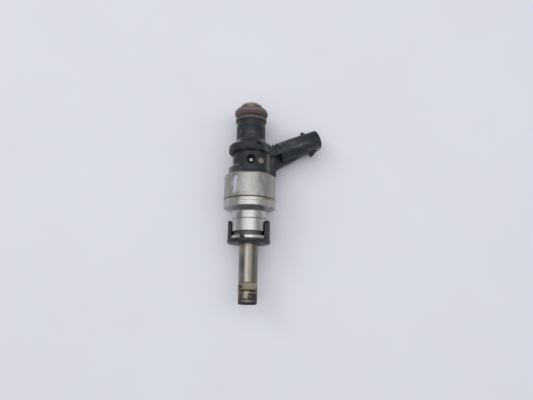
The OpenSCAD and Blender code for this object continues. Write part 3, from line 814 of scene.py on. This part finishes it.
def contact(node, side):
    """A contact blade: up from the coil, bent beside the inlet tube and out into the socket."""
    half = CONTACT_HALF
    bend = Vector((CONTACT_X, CONTACT_BEND))
    start = Vector((CONTACT_X, span("coil_bobbin")[1]))
    along = Vector((cos(radians(LEAN)), sin(radians(LEAN))))
    across = Vector((-along.y, along.x))
    end = SHELL_AT + (SHELL_LEN - 5.2) * along
    slope = (SHELL_AT - bend).normalized()
    normal = Vector((-slope.y, slope.x))

    def turn(at, first, second, offset):
        mid = (first + second).normalized()
        return at + mid * offset / mid.dot(first)

    up = Vector((-1, 0))
    path = [start + up * half, turn(bend, up, normal, half), turn(SHELL_AT, normal, across, half),
            end + across * half, end + along * 0.4 + across * half / 2, end + along * 0.4 - across * half / 2,
            end - across * half, turn(SHELL_AT, normal, across, -half), turn(bend, up, normal, -half),
            start - up * half]
    middle_z, half_width = side * 2, 0.32
    bm = slab([tuple(point) for point in path], middle_z - half_width, middle_z + half_width, 0.08)
    placed(bm, rolled)
    finished(bm, "contact_" + node[-1], "injector", "contact_tin", finishes["contact_tin"], node)


def bearing_ball():
    """The ball that closes the test port, with the small flat left by its punch."""
    at = middle("port_ball")
    bm = bmesh.new()
    bmesh.ops.create_icosphere(bm, subdivisions=5, radius=BALL)
    bmesh.ops.bisect_plane(bm, geom=bm.verts[:] + bm.edges[:] + bm.faces[:], dist=1e-5,
                           plane_co=(0, 0, BALL - 0.04), plane_no=(0, 0, 1), clear_outer=True)
    rim = [e for e in bm.edges if e.is_boundary]
    bmesh.ops.contextual_create(bm, geom=rim)
    bmesh.ops.translate(bm, verts=bm.verts, vec=at)
    finished(tidied(bm), "closing_ball", "injector", "ball_steel", finishes["ball_steel"], "port_ball")


def rivet():
    """The copper rivet of the earth contact: a crowned head with a dimple."""
    bm = turned([
        (0, RIVET_FOOT), (RIVET, RIVET_FOOT), (RIVET, 7.33, 0.2), (0.55, 7.36, 0.1), (0.4, 7.2, 0.1),
        (0, 7.2)], False, SMALL_ROUND)
    placed(bm, rivet_at @ Matrix.Rotation(pi / 2, 4, "X"))
    finished(tidied(bm), "earth_rivet", "injector", "copper", finishes["copper"], "contact_rivet")


# ---- Steel ----

def coil_can():
    low, top, outer = span("coil_housing")
    wall = outer - 1.3
    bm = turned([
        (wall, low), (outer - 0.1, low, 0.03), (outer, low + 0.14, 0.08), (outer, top, 1.0),
        (wall, top, 0.05)])
    finished(bm, "coil_can", "injector", "steel_housing", finishes["steel_housing"], "coil_housing")


def valve_housing():
    low, top, outer = span("valve_body")
    neck = 6.95
    bm = turned([
        (3.5, low), (6.2, low, 0.08), (6.2, 4.7, 0.15), (neck, 4.7, 0.15), (neck, GROOVE - 0.18, 0.05),
        (neck - 0.15, GROOVE - 0.08), (neck - 0.15, GROOVE + 0.08), (neck, GROOVE + 0.18, 0.05),
        (neck, 12.6, 0.25), (outer, 14.1, 0.25), (outer, 15.9, 0.04), (outer - 0.06, 15.97),
        (outer - 0.06, 16.05), (outer, 16.12, 0.04), (outer, top - 0.12, 0.06), (outer - 0.12, top, 0.03),
        (4.8, top, 0.1), (4.8, 12.4), (2.4, 12.4), (2.4, 6.5), (3.5, 6.5)])
    finished(bm, "valve_housing", "injector", "steel_neck", finishes["steel_neck"], "valve_body")


def nozzle_shaft():
    low, top, outer = span("nozzle_tube")
    seal_y = span("combustion_seal")[1] + 0.06
    bm = turned([
        (BORE, low), (3.0, low), (3.0, seal_y, 0.08), (outer, seal_y, 0.14), (outer, 0.1, 0.12),
        (3.5, 0.25, 0.05), (3.5, top, 0.1), (BORE, top)])
    finished(bm, "nozzle_shaft", "injector", "steel_nozzle", finishes["steel_nozzle"], "nozzle_tube")


def tip_seal():
    low, top, outer = span("combustion_seal")
    bm = turned([
        (3.02, low), (3.62, low, 0.06), (outer, low + 0.32, 0.2), (outer, top - 0.32, 0.2), (3.6, top, 0.08),
        (3.02, top)])
    finished(bm, "tip_seal", "injector", "seal_ptfe", finishes["seal_ptfe"], "combustion_seal")


def spray_tip():
    low, top, outer = span("seat_body")
    bm = turned([
        (0, low), (1.9, low, 0.2), (2.2, low + 0.12, 0.2), (3.0, low + 0.02, 0.2), (outer, low + 0.35, 0.5),
        (outer, top, 0.05), (1.9, top), (1.9, top - 2.5), (0, top - 3.6)], False)
    holes = [placed(rod(0.13, 2, 20), azimuth(60 * k) @ Matrix.Translation((0, low - 0.5, 1.15))
                    @ Matrix.Rotation(radians(-62), 4, "X")) for k in range(6)]
    bm = combined(bm, holes, "DIFFERENCE")
    finished(bm, "spray_tip", "injector", "steel_tip", finishes["steel_tip"], "seat_body")


def bearing_washer():
    low, top, outer = span("seat_washer")
    bm = turned([(4.0, low, 0.1), (outer, low, 0.25), (outer, top, 0.3), (4.0, top, 0.1)])
    finished(bm, "bearing_washer", "clip", "washer_steel", finishes["washer_steel"], "seat_washer")


# ---- Support clip ----

FINGER = (7.3, 8.4)      # inner and outer radius of the fingers
FINGER_SPREAD = 19       # half the angle that a finger covers, degrees
FINGERS_AT = (82, -98)   # where the fingers stand round the axis, degrees
NUB_AT = -17.5           # where the small nub stands, degrees


def finger(angle):
    """An upright finger with a rounded tip, and the barb that snaps into the undercut."""
    half = FINGER[1] * sin(radians(FINGER_SPREAD))
    ring = turned([(FINGER[0], 1), (FINGER[1], 1), (FINGER[1], 9.2, 0.45), (FINGER[0], 9.2, 0.25)])
    face = slab([(-half, -2), (half, -2), (half, 9.3, 1.9), (-half, 9.3, 1.9)], 3, 11)
    upright = combined(ring, [face], "INTERSECT")
    catch = combined(turned([(6.45, 3.45, 0.15), (7.8, 3.3), (7.8, 4.5), (6.45, 4.4, 0.15)]),
                     [block((-1.2, 3, 4), (1.2, 5, 10))], "INTERSECT")
    return placed(combined(upright, [catch], "UNION"), azimuth(angle))


def clip_moulding():
    outer = span("support_clip")[2]
    base = turned([
        (4.0, 0, 0.1), (outer - 0.6, 0, 0.1), (outer, 0.6, 0.2), (outer - 0.12, 1.65, 0.2), (4.0, 1.65, 0.1)])
    ring = turned([(FINGER[0], 1), (FINGER[1], 1), (FINGER[1], 4.1, 0.2), (FINGER[0], 4.1)])
    tab = slab([(-0.75, -1), (0.75, -1), (0.75, 3.1, 0.7), (-0.75, 3.1, 0.7)], 4, 10)
    nub = placed(combined(ring, [tab], "INTERSECT"), azimuth(NUB_AT))
    bm = combined(base, [finger(FINGERS_AT[0]), finger(FINGERS_AT[1]), nub], "UNION")
    finished(bm, "clip_moulding", "clip", "clip_plastic", finishes["clip_plastic"], "support_clip")


inlet_fitting()
rail_seal()
backing_ring()
spacer_collar()
neck_moulding()
plug_moulding()
contact("terminal_a", 1)
contact("terminal_b", -1)
bearing_ball()
rivet()
coil_can()
valve_housing()
nozzle_shaft()
tip_seal()
spray_tip()
bearing_washer()
clip_moulding()


# ---- Floor, light and camera ----

def floor():
    """A plain pale floor under the lowest point."""
    paper = Finish("pale floor")
    fibre = paper.noise(0.02, 4)
    shade = paper.mix(fibre, colour(222, 222, 230), colour(230, 231, 238))
    material = paper.shade(Base_Color=shade, Roughness=0.7)
    bm = bmesh.new()
    bmesh.ops.create_grid(bm, x_segments=1, y_segments=1, size=1.5)
    bmesh.ops.translate(bm, verts=bm.verts, vec=(0, 0, cad_low.z - 0.00002))
    mesh = bpy.data.meshes.new("floor")
    bm.to_mesh(mesh)
    bm.free()
    mesh.materials.append(material)
    piece = bpy.data.objects.new("floor", mesh)
    bpy.context.scene.collection.objects.link(piece)


def soft_box(name, place, aim, size, watts, glints=True):
    """A rectangular studio light that faces a point, with or without a reflection of its own."""
    lamp = bpy.data.lights.new(name, "AREA")
    lamp.shape, lamp.size, lamp.size_y = "RECTANGLE", size[0], size[1]
    lamp.energy = watts
    holder = bpy.data.objects.new(name, lamp)
    holder.location = place
    holder.rotation_euler = (Vector(aim) - Vector(place)).to_track_quat("-Z", "Y").to_euler()
    holder.visible_camera = False
    holder.visible_glossy = glints
    bpy.context.scene.collection.objects.link(holder)


AIM = (0, 0.02, 0)          # what every light faces, metres
LEFT_HIGH = (-0.5, 0.35, 0.5)  # where the key light and its small bright window stand, metres


def studio():
    """An even pale room, two boxes overhead and softer light from both sides."""
    world = bpy.data.worlds.new("studio")
    world.use_nodes = True
    sky = world.node_tree.nodes["Background"]
    sky.inputs["Color"].default_value = (0.93, 0.95, 1.0, 1)
    sky.inputs["Strength"].default_value = 0.42
    bpy.context.scene.world = world
    soft_box("overhead", (-0.03, 0.06, 0.62), AIM, (0.8, 0.8), 2.1)
    soft_box("overhead edge", (0.26, 0.06, 0.62), AIM, (0.16, 0.8), 0.3)
    soft_box("key", LEFT_HIGH, AIM, (0.3, 0.3), 0.8, glints=False)
    soft_box("fill", (0.5, 0.1, 0.45), AIM, (0.4, 0.4), 0.35, glints=False)
    soft_box("window", LEFT_HIGH, AIM, (0.12, 0.12), 0.12)


def camera():
    """A close view from above the nozzle, tipped towards the inlet."""
    lens = bpy.data.cameras.new("camera")
    lens.lens = 30.4
    lens.clip_start = 0.01
    viewer = bpy.data.objects.new("camera", lens)
    viewer.location = (7.37 * MM, -19.9 * MM, 178.4 * MM)
    viewer.rotation_euler = (radians(12), 0, radians(0.78))
    bpy.context.scene.collection.objects.link(viewer)
    bpy.context.scene.camera = viewer


floor()
studio()
camera()
bpy.context.scene.view_settings.view_transform = "Standard"
